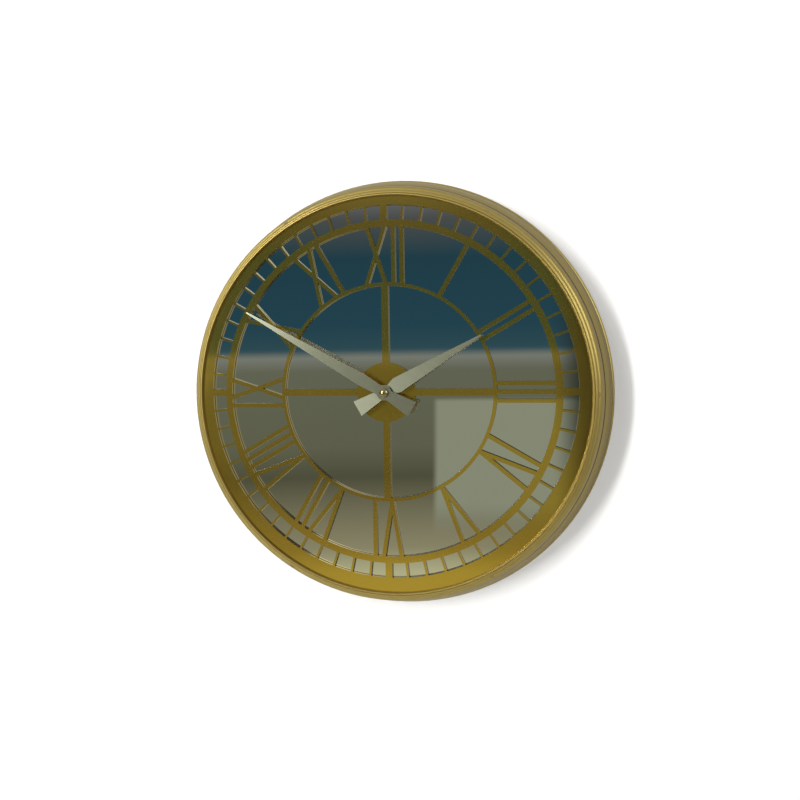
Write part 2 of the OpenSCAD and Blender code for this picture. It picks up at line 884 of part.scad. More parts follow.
// Rear cover over the gears, with posts for plate, stator and board, and bearings
module rear_cover() {
    color([0.12, 0.12, 0.13])
        upright()
            difference() {
                union() {
                    intersection() {
                        translate([0, 0, case_back])
                            linear_extrude(height = case_wall)
                                rounded(half_w, case_corner);
                        translate([-case_w, bay_y - part_t, case_back - 1])
                            cube([2 * case_w, case_w, case_wall + 2]);
                    }
                    for (p = plate_posts)
                        translate([p[0], p[1], 0])
                            disc(post_d / 2, cover_z - 0.1, plate_z - cover_z + 0.1);
                    for (p = rear_posts)
                        translate([p[0], p[1], 0])
                            disc(post_d / 2 + 0.9, cover_z - 0.1, pcb_z - cover_z + 0.1);
                    for (x = [leg_left, leg_right])
                        translate([x, coil_y, 0])
                            disc(post_d / 2, cover_z - 0.1, stator_z - cover_z + 0.1);
                }
                for (p = [rotor_p, fifth_p, third_p, [0, 0]])
                    translate([p[0], p[1], cover_z - pivot_h - 0.1])
                        cylinder(h = pivot_h + 0.2, r = arbor_r + run);
                translate([minute_p[0], minute_p[1], 0])
                    bore(stem_r + run, case_back, case_wall);
            }
}

// Bearing plate between the going train and the motion work
module middle_plate() {
    color([0.85, 0.84, 0.8])
        upright()
            difference() {
                translate([-post_x - plate_margin, plate_low, plate_z])
                    cube([2 * (post_x + plate_margin), plate_high - plate_low, plate_t]);
                bore(1 + run, plate_z, plate_t);
                translate([third_p[0], third_p[1], 0])
                    bore(arbor_r + run, plate_z, plate_t);
                translate([minute_p[0], minute_p[1], 0])
                    bore(stem_r + run, plate_z, plate_t);
                for (p = [rotor_p, fifth_p])
                    translate([p[0], p[1], plate_z - 0.1])
                        cylinder(h = pivot_h + 0.2, r = arbor_r + run);
            }
}

// Hour wheel with the pipe that carries the hour hand
module hour_wheel() {
    color([0.9, 0.88, 0.82])
        upright()
            difference() {
                union() {
                    light_gear(hour_n, m_hour, hour_wheel_z, hour_wheel_t, minute_wheel_at, true, 1.9);
                    disc(hour_pipe_r, hour_wheel_z, hour_blade_z + hand_t - hour_wheel_z);
                }
                bore(hour_pipe_in, hour_wheel_z, hour_blade_z + hand_t - hour_wheel_z);
            }
}

// Minute pipe with the cannon pinion and the thread for the cap nut
module minute_pipe() {
    color([0.76, 0.65, 0.36])
        upright()
            difference() {
                union() {
                    disc(1, plate_z + 0.2, 2);
                    disc(pipe_r, plate_z + plate_t + 0.3, cap_z - plate_z - plate_t - 0.3);
                    gear(cannon_n, m_motion, minute_wheel_z, wheel_t, minute_wheel_at, false);
                    disc(cap_thread_r, cap_z - 0.1, cap_thread);
                }
                disc(arbor_r + run, plate_z - 0.3, 3.3);
            }
}

// Centre wheel, which turns the minute pipe through its friction hub
module centre_wheel() {
    color([0.9, 0.88, 0.82])
        upright()
            difference() {
                union() {
                    light_gear(centre_n, m_centre, centre_wheel_z, wheel_t, third_at, true, 1.9);
                    disc(3, centre_wheel_z - 0.3, wheel_t + 0.6);
                }
                bore(pipe_r + run, centre_wheel_z - 0.3, wheel_t + 0.6);
            }
}

// Minute wheel with its pinion on the setting stem
module minute_wheel() {
    stem_end = case_back - 0.6 - knob_h * 0.8;
    color([0.9, 0.88, 0.82])
        upright()
            translate([minute_p[0], minute_p[1], 0]) {
                light_gear(minute_n, m_motion, minute_wheel_z, wheel_t, minute_wheel_at + 180, true, 1.9);
                gear(minute_pinion_n, m_hour, minute_wheel_z + 0.1, fz - 1.3 - minute_wheel_z, minute_wheel_at + 180, false);
                disc(arbor_r, minute_wheel_z, fz - minute_wheel_z + pivot_h - 0.1);
                disc(stem_r, stem_end, minute_wheel_z - stem_end + 0.2);
            }
}

// Fluted knob on the setting stem
module setting_knob() {
    knob_z = case_back - 0.6 - knob_h;
    color([0.14, 0.14, 0.15])
        upright()
            translate([minute_p[0], minute_p[1], 0])
                difference() {
                    disc(knob_d / 2, knob_z, knob_h);
                    for (i = [0 : knob_flutes - 1])
                        rotate([0, 0, i * 360 / knob_flutes])
                            translate([knob_d / 2 + 0.25, 0, 0])
                                bore(0.6, knob_z, knob_h);
                    disc(stem_r + tight, knob_z + knob_h * 0.2 - tight, knob_h);
                }
}

// Third wheel with its pinion in front of the middle plate
module third_wheel() {
    color([0.9, 0.88, 0.82])
        upright()
            translate([third_p[0], third_p[1], 0]) {
                light_gear(third_n, m_train, third_z, third_t, third_at + 180, true, 1.9);
                gear(third_pinion_n, m_centre, centre_wheel_z - 0.3, wheel_t + 0.6, third_at + 180, false);
                disc(arbor_r, cover_z - pivot_h + 0.1, centre_wheel_z - cover_z + pivot_h);
            }
}

// Fourth wheel on the hands' axis, its arbor running in the minute pipe
module fourth_wheel() {
    color([0.9, 0.88, 0.82])
        upright() {
            light_gear(fourth_n, m_train, fourth_z, fourth_t, fifth_at, true, 1.6);
            gear(fourth_pinion_n, m_train, fourth_z + 0.1, third_z + third_t - fourth_z, third_at, false);
            disc(arbor_r, cover_z - pivot_h + 0.1, fz - 5.6 - cover_z + pivot_h);
        }
}

// Fifth wheel with its pinion
module fifth_wheel() {
    color([0.9, 0.88, 0.82])
        upright()
            translate([fifth_p[0], fifth_p[1], 0]) {
                light_gear(fifth_n, m_rotor, fifth_z, wheel_t, rotor_at, true, 1.6);
                gear(fifth_pinion_n, m_train, fifth_z + 0.1, fourth_z + fourth_t - fifth_z + 0.1, fifth_at + 180, false);
                disc(arbor_r, cover_z - pivot_h + 0.1, plate_z - cover_z + 2 * pivot_h - 0.2);
            }
}

// Rotor's arbor with its pinion
module rotor_pinion() {
    color([0.9, 0.88, 0.82])
        upright()
            translate([rotor_p[0], rotor_p[1], 0]) {
                gear(rotor_n, m_rotor, fifth_z - 0.2, wheel_t + 0.4, rotor_at + 180, false);
                disc(arbor_r, cover_z - pivot_h + 0.1, plate_z - cover_z + 2 * pivot_h - 0.2);
            }
}

// Ring magnet pressed on the rotor's arbor
module rotor_magnet() {
    color([0.25, 0.25, 0.27])
        upright()
            translate([rotor_p[0], rotor_p[1], 0])
                difference() {
                    disc(magnet_d / 2, magnet_z, magnet_h);
                    bore(arbor_r + tight, magnet_z, magnet_h);
                }
}

// Soft-iron stator with the rotor's hole and two legs to the coil
module stator() {
    color([0.55, 0.55, 0.57])
        upright()
            translate([0, 0, stator_z])
                linear_extrude(height = core_t)
                    difference() {
                        union() {
                            translate([leg_left - leg_w / 2, rotor_p[1] - stator_h / 2])
                                square([leg_right - leg_left + leg_w, stator_h]);
                            for (x = [leg_left, leg_right])
                                translate([x - leg_w / 2, rotor_p[1]])
                                    square([leg_w, coil_y + core_w / 2 - rotor_p[1]]);
                        }
                        translate(rotor_p)
                            circle(d = magnet_d + 2 * air_gap);
                    }
}

// Soft-iron core lying on the stator's legs
module coil_core() {
    color([0.6, 0.6, 0.62])
        upright()
            translate([leg_left - leg_w / 2, coil_y - core_w / 2, core_z])
                cube([leg_right - leg_left + leg_w, core_w, core_t]);
}

// Round bobbin along X between two heights along its axis
module along_coil(r, start, length) {
    translate([coil_x + start, coil_y, coil_z])
        rotate([0, 90, 0])
            cylinder(h = length, r = r);
}

// Bobbin round the core
module coil_bobbin() {
    color([0.9, 0.9, 0.88])
        upright()
            difference() {
                union() {
                    along_coil(core_w / 2 + bobbin_wall, -coil_len / 2, coil_len);
                    along_coil(bobbin_flange_r, -coil_len / 2, bobbin_flange_t);
                    along_coil(bobbin_flange_r, coil_len / 2 - bobbin_flange_t, bobbin_flange_t);
                }
                translate([coil_x - coil_len, coil_y - core_w / 2 - tight, core_z - tight])
                    cube([2 * coil_len, core_w + 2 * tight, core_t + 2 * tight]);
            }
}

// Copper winding between the bobbin's flanges
module coil_winding() {
    wound = coil_len - 2 * bobbin_flange_t - 2 * tight;
    color([0.72, 0.38, 0.2])
        upright()
            difference() {
                along_coil(coil_d / 2, -wound / 2, wound);
                along_coil(core_w / 2 + bobbin_wall + tight, -coil_len, 2 * coil_len);
            }
}

// Circuit board on two posts, with the sealed chip
module circuit_board() {
    color([0.16, 0.36, 0.22])
        upright()
            difference() {
                union() {
                    translate([pcb_left, pcb_low, pcb_z])
                        cube([pcb_right - pcb_left, pcb_high - pcb_low, pcb_t]);
                    intersection() {
                        translate([chip_x, chip_y, pcb_top - chip_r / 2])
                            sphere(r = chip_r);
                        translate([chip_x - chip_r, chip_y - chip_r, pcb_top - 0.2])
                            cube([2 * chip_r, 2 * chip_r, chip_r]);
                    }
                }
                for (p = rear_posts)
                    translate([p[0], p[1], 0])
                        bore(post_d / 2 + pcb_hole_gap, pcb_z, pcb_t);
            }
}

// Quartz crystal's can with two leads, on the board
module quartz_crystal() {
    color([0.75, 0.76, 0.78])
        upright()
            translate([crystal_x, crystal_y, pcb_top + crystal_d / 2]) {
                rotate([-90, 0, 0])
                    cylinder(h = crystal_len, r = crystal_d / 2);
                for (s = [-1, 1])
                    translate([s * 0.4 - 0.15, -1.2, -crystal_d / 2])
                        cube([0.3, 1.4, crystal_d / 2]);
            }
}

// Contact strip at the nub end, running along the bay's wall to the board
module contact_positive() {
    color([0.75, 0.74, 0.7])
        upright() {
            translate([-inner_w, cell_y - 5, cell_z - 4])
                cube([strip_t, 10, 8]);
            translate([-inner_w, cell_y, strip_z])
                cube([strip_t, bay_y + strip_t - cell_y, strip_w]);
            translate([-inner_w, bay_y, strip_z])
                cube([inner_w + pcb_left - 0.4, strip_t, strip_w]);
            translate([pcb_left - 0.6, bay_y, pcb_top])
                cube([2, 2, strip_t]);
        }
}

// Sprung contact at the flat end, with a tab on the board
module contact_negative() {
    sag = spring_sag;
    bow_w = 8;
    bow_r = (pow(bow_w / 2, 2) + pow(sag, 2)) / (2 * sag);
    color([0.75, 0.74, 0.7])
        upright() {
            translate([inner_w - strip_t, cell_y - 5, cell_z - 4])
                cube([strip_t, 10, 8]);
            translate([0, 0, cell_z - 3])
                linear_extrude(height = 6)
                    intersection() {
                        difference() {
                            translate([cell_right + bow_r, cell_y])
                                circle(r = bow_r);
                            translate([cell_right + bow_r, cell_y])
                                circle(r = bow_r - strip_t);
                        }
                        translate([cell_right - 1, cell_y - 4.6])
                            square([sag + 1 + strip_t / 2, 9.2]);
                    }
            translate([inner_w - strip_t, cell_y, strip_z])
                cube([strip_t, bay_y + 3.5 - cell_y, strip_w]);
            translate([pcb_right - 1.4, bay_y + 1, pcb_top])
                cube([inner_w - pcb_right + 1.4, 2.4, strip_t]);
        }
}

// AA cell lying in the bay, its nub to the left seen from the front
module battery() {
    color([0.2, 0.22, 0.25])
        upright()
            translate([cell_left, cell_y, cell_z])
                rotate([0, 90, 0]) {
                    translate([0, 0, nub_h])
                        cylinder(h = cell_len - nub_h, r = cell_d / 2);
                    cylinder(h = nub_h + 0.2, r = nub_d / 2);
                }
}

frame();
dial();
mirror_sheet();  // mirror
backboard();
retaining_screws();
retaining_clips();
hanger_plate();
hanger_screws();
hour_hand();
minute_hand();
cap_nut();
brass_washer();
fixing_nut();
threaded_bush();
rubber_gasket();
front_case();
rear_cover();
middle_plate();
hour_wheel();
minute_pipe();
centre_wheel();
minute_wheel();
setting_knob();
third_wheel();
fourth_wheel();
fifth_wheel();
rotor_pinion();
rotor_magnet();
stator();
coil_core();
coil_bobbin();
coil_winding();
circuit_board();
quartz_crystal();
contact_positive();
contact_negative();
battery();
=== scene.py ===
import math

import bpy
import bmesh
from mathutils import Matrix, Vector


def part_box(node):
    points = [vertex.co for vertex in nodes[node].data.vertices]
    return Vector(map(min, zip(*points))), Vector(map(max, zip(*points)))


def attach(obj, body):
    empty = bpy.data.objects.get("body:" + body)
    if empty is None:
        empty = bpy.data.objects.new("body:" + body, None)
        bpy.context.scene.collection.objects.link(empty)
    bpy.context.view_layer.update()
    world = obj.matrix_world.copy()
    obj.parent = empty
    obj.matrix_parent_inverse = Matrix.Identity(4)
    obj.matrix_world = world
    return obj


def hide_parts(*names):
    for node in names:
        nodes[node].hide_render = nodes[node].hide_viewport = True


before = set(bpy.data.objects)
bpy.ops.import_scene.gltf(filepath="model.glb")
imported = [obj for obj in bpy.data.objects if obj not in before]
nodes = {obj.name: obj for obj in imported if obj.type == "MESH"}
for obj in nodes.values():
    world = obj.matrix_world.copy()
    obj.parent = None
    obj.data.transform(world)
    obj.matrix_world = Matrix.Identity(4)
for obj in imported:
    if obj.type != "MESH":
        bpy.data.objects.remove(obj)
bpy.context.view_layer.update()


# Frame: one round hollow moulding in five steps, cast in plastic and sprayed with a satin gold
# lacquer. The lacquer is slightly cloudy, dull on the screw bosses' ends and missing in the hollow.
# Painted shade darkens the inside of the lip, the two grooves and the bosses' ends.
def feed(tree, value, socket):
    """Feeds a socket from another socket or with plain numbers."""
    if isinstance(value, bpy.types.NodeSocket):
        tree.links.new(value, socket)
    else:
        socket.default_value = value


def number_step(tree, operation, first, second=0.0):
    """One step of arithmetic on sockets or plain numbers."""
    node = tree.nodes.new("ShaderNodeMath")
    node.operation = operation
    feed(tree, first, node.inputs[0])
    feed(tree, second, node.inputs[1])
    return node.outputs["Value"]


def vector_step(tree, operation, first, second=(0, 0, 0)):
    """One step of vector arithmetic, which gives a vector or, for some steps, a number."""
    node = tree.nodes.new("ShaderNodeVectorMath")
    node.operation = operation
    feed(tree, first, node.inputs[0])
    feed(tree, second, node.inputs[1])
    return node.outputs["Value" if operation in ("DOT_PRODUCT", "LENGTH") else "Vector"]


def axes_of(tree, value):
    """The X, Y and Z of a vector."""
    node = tree.nodes.new("ShaderNodeSeparateXYZ")
    tree.links.new(value, node.inputs[0])
    return node.outputs


def spread(tree, value, start, end, low=0.0, high=1.0, smooth=False):
    """Carries a value from one range over to another, held at its ends."""
    node = tree.nodes.new("ShaderNodeMapRange")
    if smooth:
        node.interpolation_type = "SMOOTHSTEP"
    node.inputs["From Min"].default_value = start
    node.inputs["From Max"].default_value = end
    node.inputs["To Min"].default_value = low
    node.inputs["To Max"].default_value = high
    tree.links.new(value, node.inputs["Value"])
    return node.outputs["Result"]


def mix_numbers(tree, share, first, second):
    """Goes from one number to another by a share."""
    node = tree.nodes.new("ShaderNodeMix")
    tree.links.new(share, node.inputs["Factor"])
    feed(tree, first, node.inputs["A"])
    feed(tree, second, node.inputs["B"])
    return node.outputs["Result"]


def mix_colours(tree, share, first, second):
    """Goes from one colour to another by a share."""
    node = tree.nodes.new("ShaderNodeMix")
    node.data_type = "RGBA"
    tree.links.new(share, node.inputs["Factor"])
    for name, colour in (("A", first), ("B", second)):
        feed(tree, (*colour, 1) if isinstance(colour, tuple) else colour, node.inputs[name])
    return node.outputs["Result"]


def surface_grain_group():
    """Fine grain and broad clouding over a surface, turned about the hands' axis and stretched."""
    group = bpy.data.node_groups.new("surface_grain", "ShaderNodeTree")
    for name, default in (("Scale", 400.0), ("Cloud Scale", 30.0), ("Turn", 0.0)):
        socket = group.interface.new_socket(name=name, in_out="INPUT", socket_type="NodeSocketFloat")
        socket.default_value = default
    socket = group.interface.new_socket(name="Stretch", in_out="INPUT", socket_type="NodeSocketVector")
    socket.default_value = (1.0, 1.0, 1.0)
    for name in ("Grain", "Cloud"):
        group.interface.new_socket(name=name, in_out="OUTPUT", socket_type="NodeSocketFloat")
    given = group.nodes.new("NodeGroupInput").outputs
    result = group.nodes.new("NodeGroupOutput").inputs
    place = group.nodes.new("ShaderNodeTexCoord").outputs["Object"]
    turned = group.nodes.new("ShaderNodeVectorRotate")
    turned.rotation_type = "Y_AXIS"
    group.links.new(place, turned.inputs["Vector"])
    group.links.new(given["Turn"], turned.inputs["Angle"])
    stretched = vector_step(group, "MULTIPLY", turned.outputs["Vector"], given["Stretch"])
    fine = group.nodes.new("ShaderNodeTexNoise")
    fine.inputs["Detail"].default_value = 3.0
    group.links.new(stretched, fine.inputs["Vector"])
    group.links.new(given["Scale"], fine.inputs["Scale"])
    group.links.new(fine.outputs["Fac"], result["Grain"])
    broad = group.nodes.new("ShaderNodeTexNoise")
    broad.inputs["Detail"].default_value = 2.0
    group.links.new(place, broad.inputs["Vector"])
    group.links.new(given["Cloud Scale"], broad.inputs["Scale"])
    group.links.new(broad.outputs["Fac"], result["Cloud"])
    return group


surface_grain = surface_grain_group()
grain_low, grain_high = 0.3, 0.7


def shader_of(material):
    """The shader node of a finish."""
    return material.node_tree.nodes["Principled BSDF"]


def finish(name, light, dark, rough, metallic=0.0, scale=400.0, cloud=30.0, stretch=(1, 1, 1), turn=0.0,
           relief=0.2, depth=0.00003):
    """A finish whose colour clouds between two tones and whose gloss and relief follow its grain."""
    material = bpy.data.materials.new(name)
    material.use_nodes = True
    tree = material.node_tree
    shader = shader_of(material)
    shader.inputs["Metallic"].default_value = metallic
    grain = tree.nodes.new("ShaderNodeGroup")
    grain.node_tree = surface_grain
    grain.inputs["Scale"].default_value = scale
    grain.inputs["Cloud Scale"].default_value = cloud
    grain.inputs["Stretch"].default_value = stretch
    grain.inputs["Turn"].default_value = turn
    bump = tree.nodes.new("ShaderNodeBump")
    bump.inputs["Strength"].default_value = relief
    bump.inputs["Distance"].default_value = depth
    gloss = spread(tree, grain.outputs["Grain"], grain_low, grain_high, *rough)
    tree.links.new(mix_colours(tree, grain.outputs["Cloud"], light, dark), shader.inputs["Base Color"])
    tree.links.new(gloss, shader.inputs["Roughness"])
    tree.links.new(grain.outputs["Grain"], bump.inputs["Height"])
    tree.links.new(bump.outputs["Normal"], shader.inputs["Normal"])
    return material


def overlay(material, mask, colour, rough, metallic=None):
    """Lays a second colour, gloss and metal over the part of a finish that the mask covers."""
    tree = material.node_tree
    base, gloss, metal = (shader_of(material).inputs[n] for n in ("Base Color", "Roughness", "Metallic"))
    tree.links.new(mix_colours(tree, mask, base.links[0].from_socket, colour), base)
    tree.links.new(mix_numbers(tree, mask, gloss.links[0].from_socket, rough), gloss)
    if metallic is not None:
        below = metal.links[0].from_socket if metal.is_linked else metal.default_value
        tree.links.new(mix_numbers(tree, mask, below, metallic), metal)


def turned_rings_group():
    """Distance from an axis along Y, and fine concentric lines round it."""
    group = bpy.data.node_groups.new("turned_rings", "ShaderNodeTree")
    group.interface.new_socket(name="Centre", in_out="INPUT", socket_type="NodeSocketVector")
    socket = group.interface.new_socket(name="Pitch", in_out="INPUT", socket_type="NodeSocketFloat")
    socket.default_value = 0.0003
    for name in ("Radius", "Lines"):
        group.interface.new_socket(name=name, in_out="OUTPUT", socket_type="NodeSocketFloat")
    given = group.nodes.new("NodeGroupInput").outputs
    result = group.nodes.new("NodeGroupOutput").inputs
    place = group.nodes.new("ShaderNodeTexCoord").outputs["Object"]
    arm = vector_step(group, "MULTIPLY", vector_step(group, "SUBTRACT", place, given["Centre"]), (1, 0, 1))
    reach = vector_step(group, "LENGTH", arm)
    group.links.new(reach, result["Radius"])
    count = number_step(group, "DIVIDE", reach, given["Pitch"])
    group.links.new(number_step(group, "PINGPONG", count, 0.5), result["Lines"])
    return group


turned_rings = turned_rings_group()


def rings_in(material, centre=(0, 0, 0), pitch=0.0003):
    """The ring pattern placed in a material, about an axis through the given point."""
    rings = material.node_tree.nodes.new("ShaderNodeGroup")
    rings.node_tree = turned_rings
    rings.inputs["Centre"].default_value = centre
    rings.inputs["Pitch"].default_value = pitch
    return rings.outputs


def band_mask(material, value, middle, half, soft):
    """One inside a band of a value, falling to zero over a soft edge."""
    tree = material.node_tree
    away = number_step(tree, "ABSOLUTE", number_step(tree, "SUBTRACT", value, middle))
    return spread(tree, away, half, half + soft, 1.0, 0.0, smooth=True)


def place_in(material):
    """Where a point of the piece lies, in the shared frame."""
    return material.node_tree.nodes.new("ShaderNodeTexCoord").outputs["Object"]


def normal_in(material, kind="Normal"):
    """Which way a surface looks."""
    return material.node_tree.nodes.new("ShaderNodeNewGeometry").outputs[kind]


def hollow_mask(material, centre, lip_y, rim_y, rim_fade, lean):
    """One inside the hollow moulding, away from the lip, fading to zero near the back rim."""
    tree = material.node_tree
    place = place_in(material)
    arm = vector_step(tree, "MULTIPLY", vector_step(tree, "SUBTRACT", place, centre), (1, 0, 1))
    outward = vector_step(tree, "NORMALIZE", arm)
    leaning = vector_step(tree, "ADD", outward, (0, -lean, 0))
    facing = vector_step(tree, "DOT_PRODUCT", normal_in(material), leaning)
    depth = axes_of(tree, place)["Y"]
    inside = number_step(tree, "LESS_THAN", facing, 0.0)
    behind_lip = number_step(tree, "GREATER_THAN", depth, lip_y)
    deep = spread(tree, depth, rim_y, rim_y - rim_fade)
    return number_step(tree, "MULTIPLY", number_step(tree, "MULTIPLY", inside, behind_lip), deep)


def flat_mask(material, depth):
    """One on flat faces that look straight ahead at one depth."""
    tree = material.node_tree
    ahead = number_step(tree, "LESS_THAN", axes_of(tree, normal_in(material, "True Normal"))["Y"], -0.99)
    at_depth = band_mask(material, axes_of(tree, place_in(material))["Y"], depth, 0.00003, 0.00001)
    return number_step(tree, "MULTIPLY", ahead, at_depth)


def dress(material, *names):
    """Gives CAD nodes their finish."""
    for n in names:
        slots = nodes[n].data.materials
        slots.clear()
        slots.append(material)


lacquer_light = (0.43, 0.33, 0.088)
lacquer_dark = (0.37, 0.275, 0.068)
lip_painted_shade = (0.17, 0.12, 0.03)
painted_groove_shade = (0.075, 0.052, 0.014)
bare_plastic = (0.085, 0.078, 0.068)
dull_lacquer_painted_shade = (0.22, 0.165, 0.045)
frame_centre = (0.0, 0.0, -0.0026)
grooves = ((0.1909, 0.0003, 0.0004), (0.1983, 0.00012, 0.0003))
lip_r, lip_inside, lip_soft = 0.1795, 0.0005, 0.0004
lip_back_y, rim_y, rim_fade = -0.039, -0.001, 0.006
boss_end_y = -0.0397
satin_gold = finish("satin_gold_lacquer", lacquer_light, lacquer_dark, (0.30, 0.38), metallic=0.85,
                    scale=1500, cloud=16, relief=0.12, depth=0.00003)
shader_of(satin_gold).inputs["Coat Weight"].default_value = 0.4
shader_of(satin_gold).inputs["Coat Roughness"].default_value = 0.26
frame_r = rings_in(satin_gold, frame_centre)["Radius"]
# Painted shade in the two grooves.
for groove_r, half, soft in grooves:
    overlay(satin_gold, band_mask(satin_gold, frame_r, groove_r, half, soft), painted_groove_shade, 0.6)
# Painted shade on the inside of the lip.
overlay(satin_gold, band_mask(satin_gold, frame_r, lip_r, lip_inside, lip_soft), lip_painted_shade, 0.5)
overlay(satin_gold, hollow_mask(satin_gold, frame_centre, lip_back_y, rim_y, rim_fade, lean=0.5),
        bare_plastic, 0.5, 0.0)
# Dull lacquer on the bosses' ends, darkened with painted shade like the valley around them.
overlay(satin_gold, flat_mask(satin_gold, boss_end_y), dull_lacquer_painted_shade, 0.75, 0.2)
dress(satin_gold, "frame")


# Dial: a skeleton of gold mirror acrylic, 3 mm thick, laser-cut in one piece and laid on the
# mirror. Its face and cut edges are polished, and a dark film backs it. The back of the cut edges,
# next to the mirror, is darkened partly by that film and partly by painted shade.
def edge_mask(material):
    """One on walls that stand square to the dial's face."""
    tree = material.node_tree
    facing = number_step(tree, "ABSOLUTE", axes_of(tree, normal_in(material))["Y"])
    return number_step(tree, "LESS_THAN", facing, 0.5)


gold_light = (0.68, 0.48, 0.088)
gold_dark = (0.63, 0.44, 0.07)
cut_gold = (0.46, 0.36, 0.13)
backing_film_and_painted_shade = (0.035, 0.026, 0.010)
film_t, film_soft = 0.0011, 0.0002
dial_back_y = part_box("dial")[1].y
gold_mirror = finish("gold_mirror_acrylic", gold_light, gold_dark, (0.015, 0.05),
                     metallic=0.92, scale=26, cloud=9, relief=0.02, depth=0.00002)
overlay(gold_mirror, edge_mask(gold_mirror), cut_gold, 0.12, 0.95)
# Dark band at the back of the cut edges: the backing film and painted shade.
dial_depth = axes_of(gold_mirror.node_tree, place_in(gold_mirror))["Y"]
overlay(gold_mirror, band_mask(gold_mirror, dial_depth, dial_back_y, film_t, film_soft),
        backing_film_and_painted_shade, 0.35, 0.3)
dress(gold_mirror, "dial")


# Mirror: a round 3 mm silvered mirror, clean but for faint wiping marks, with a ground edge.
# It lies flat against the back of the dial and shows through all the dial's windows.
ground_glass = (0.35, 0.50, 0.44)
silver = finish("silver_mirror", (0.88, 0.90, 0.88), (0.85, 0.87, 0.85), (0.0, 0.012),
                metallic=1.0, scale=18, cloud=8, relief=0.0, depth=0.00001)
overlay(silver, edge_mask(silver), ground_glass, 0.5, 0.0)
dress(silver, "mirror")


# Backboard: 5 mm of brown fibreboard, sawn round, which presses both sheets against the lip.
# Its face is matt with short fibres, its sawn edge a little darker.
sawn_edge = (0.20, 0.13, 0.07)
fibreboard = finish("fibreboard", (0.34, 0.235, 0.14), (0.25, 0.165, 0.095), (0.72, 0.9),
                    scale=420, cloud=55, stretch=(1, 1, 3), relief=0.5, depth=0.0002)
overlay(fibreboard, edge_mask(fibreboard), sawn_edge, 0.85)
dress(fibreboard, "backboard")


# Retaining clips and screws: six turn clips punched from zinc-plated strip and six pan-head
# screws with a cross recess, driven into the frame's bosses.
zinc = finish("zinc_plate", (0.56, 0.57, 0.59), (0.44, 0.46, 0.50), (0.28, 0.42),
              metallic=1.0, scale=700, cloud=110, relief=0.15, depth=0.00004)
dress(zinc, "retaining_clips", "retaining_screws")


# Hanger: a keyhole plate stamped from steel strip and plated, rolled marks along its length,
# held on the frame's two upper bosses by a screw at each end.
rolled_steel = finish("rolled_hanger_steel", (0.52, 0.53, 0.54), (0.40, 0.41, 0.43), (0.3, 0.46),
                      metallic=1.0, scale=300, cloud=90, stretch=(0.05, 1, 6), relief=0.2, depth=0.00004)
dress(rolled_steel, "hanger_plate")
dress(zinc, "hanger_screws")


# Movement case: two black plastic mouldings with a fine spark-eroded texture, snapped together,
# and a fluted knob of the same plastic for setting the hands.
case_plastic = finish("case_plastic", (0.024, 0.024, 0.026), (0.016, 0.016, 0.018), (0.40, 0.58),
                      scale=3200, cloud=60, relief=0.5, depth=0.00006)
dress(case_plastic, "front_case", "rear_cover", "setting_knob")


# Gasket: a soft black rubber ring punched from sheet, squeezed between case and backboard.
# Its face is dull, with the bloom of old rubber.
rubber = finish("gasket_rubber", (0.030, 0.029, 0.028), (0.018, 0.018, 0.018), (0.7, 0.9),
                scale=1400, cloud=200, relief=0.4, depth=0.00008)
dress(rubber, "rubber_gasket")


# Brass neck: threaded bush, hexagon nut, washer and the minute pipe, all turned from brass bar,
# so that their faces carry the tool's fine rings.
def turned_metal(name, light, dark, rough, pitch, depth):
    """Bright metal with the lines of a lathe tool round the hands' axis."""
    material = finish(name, light, dark, rough, metallic=1.0, scale=900, cloud=140, relief=0.05)
    tree = material.node_tree
    cut = tree.nodes.new("ShaderNodeBump")
    cut.inputs["Strength"].default_value = 0.4
    cut.inputs["Distance"].default_value = depth
    tree.links.new(rings_in(material, pitch=pitch)["Lines"], cut.inputs["Height"])
    normal = shader_of(material).inputs["Normal"]
    tree.links.new(normal.links[0].from_socket, cut.inputs["Normal"])
    tree.links.new(cut.outputs["Normal"], normal)
    return material


brass = turned_metal("turned_brass", (0.66, 0.48, 0.19), (0.56, 0.40, 0.14), (0.2, 0.32),
                     pitch=0.00025, depth=0.00001)
dress(brass, "threaded_bush", "fixing_nut", "brass_washer", "minute_pipe")


# Wheels: hour, minute, centre, third, fourth and fifth wheel, rotor pinion and middle plate,
# injection-moulded in natural acetal, slightly translucent and waxy.
acetal = finish("natural_acetal", (0.80, 0.78, 0.70), (0.71, 0.69, 0.60), (0.3, 0.45),
                scale=900, cloud=150, relief=0.1, depth=0.00003)
shader_of(acetal).inputs["Subsurface Weight"].default_value = 0.1
shader_of(acetal).inputs["Subsurface Scale"].default_value = 0.001
dress(acetal, "middle_plate", "hour_wheel", "centre_wheel", "minute_wheel", "third_wheel", "fourth_wheel",
      "fifth_wheel", "rotor_pinion")


# Motor: a ferrite rotor magnet in a soft-iron stator, whose core carries a coil of enamelled
# copper wire wound on a white bobbin.
ferrite = finish("ferrite", (0.050, 0.050, 0.054), (0.035, 0.035, 0.038), (0.5, 0.7), metallic=0.4,
                 scale=2500, cloud=300, relief=0.4, depth=0.00004)
dress(ferrite, "rotor_magnet")
soft_iron = finish("soft_iron", (0.42, 0.42, 0.43), (0.33, 0.33, 0.35), (0.35, 0.5), metallic=1.0,
                   scale=500, cloud=150, stretch=(0.1, 1, 5), relief=0.2, depth=0.00003)
dress(soft_iron, "stator", "coil_core")
bobbin_nylon = finish("bobbin_nylon", (0.82, 0.81, 0.77), (0.74, 0.73, 0.68), (0.35, 0.5),
                      scale=1300, cloud=220, relief=0.2)
dress(bobbin_nylon, "coil_bobbin")
enamelled_wire = finish("enamelled_wire", (0.62, 0.27, 0.11), (0.45, 0.17, 0.06), (0.2, 0.34), metallic=1.0,
                        scale=260, cloud=150, stretch=(22, 0.3, 0.3), relief=0.8, depth=0.00008)
dress(enamelled_wire, "coil_winding")


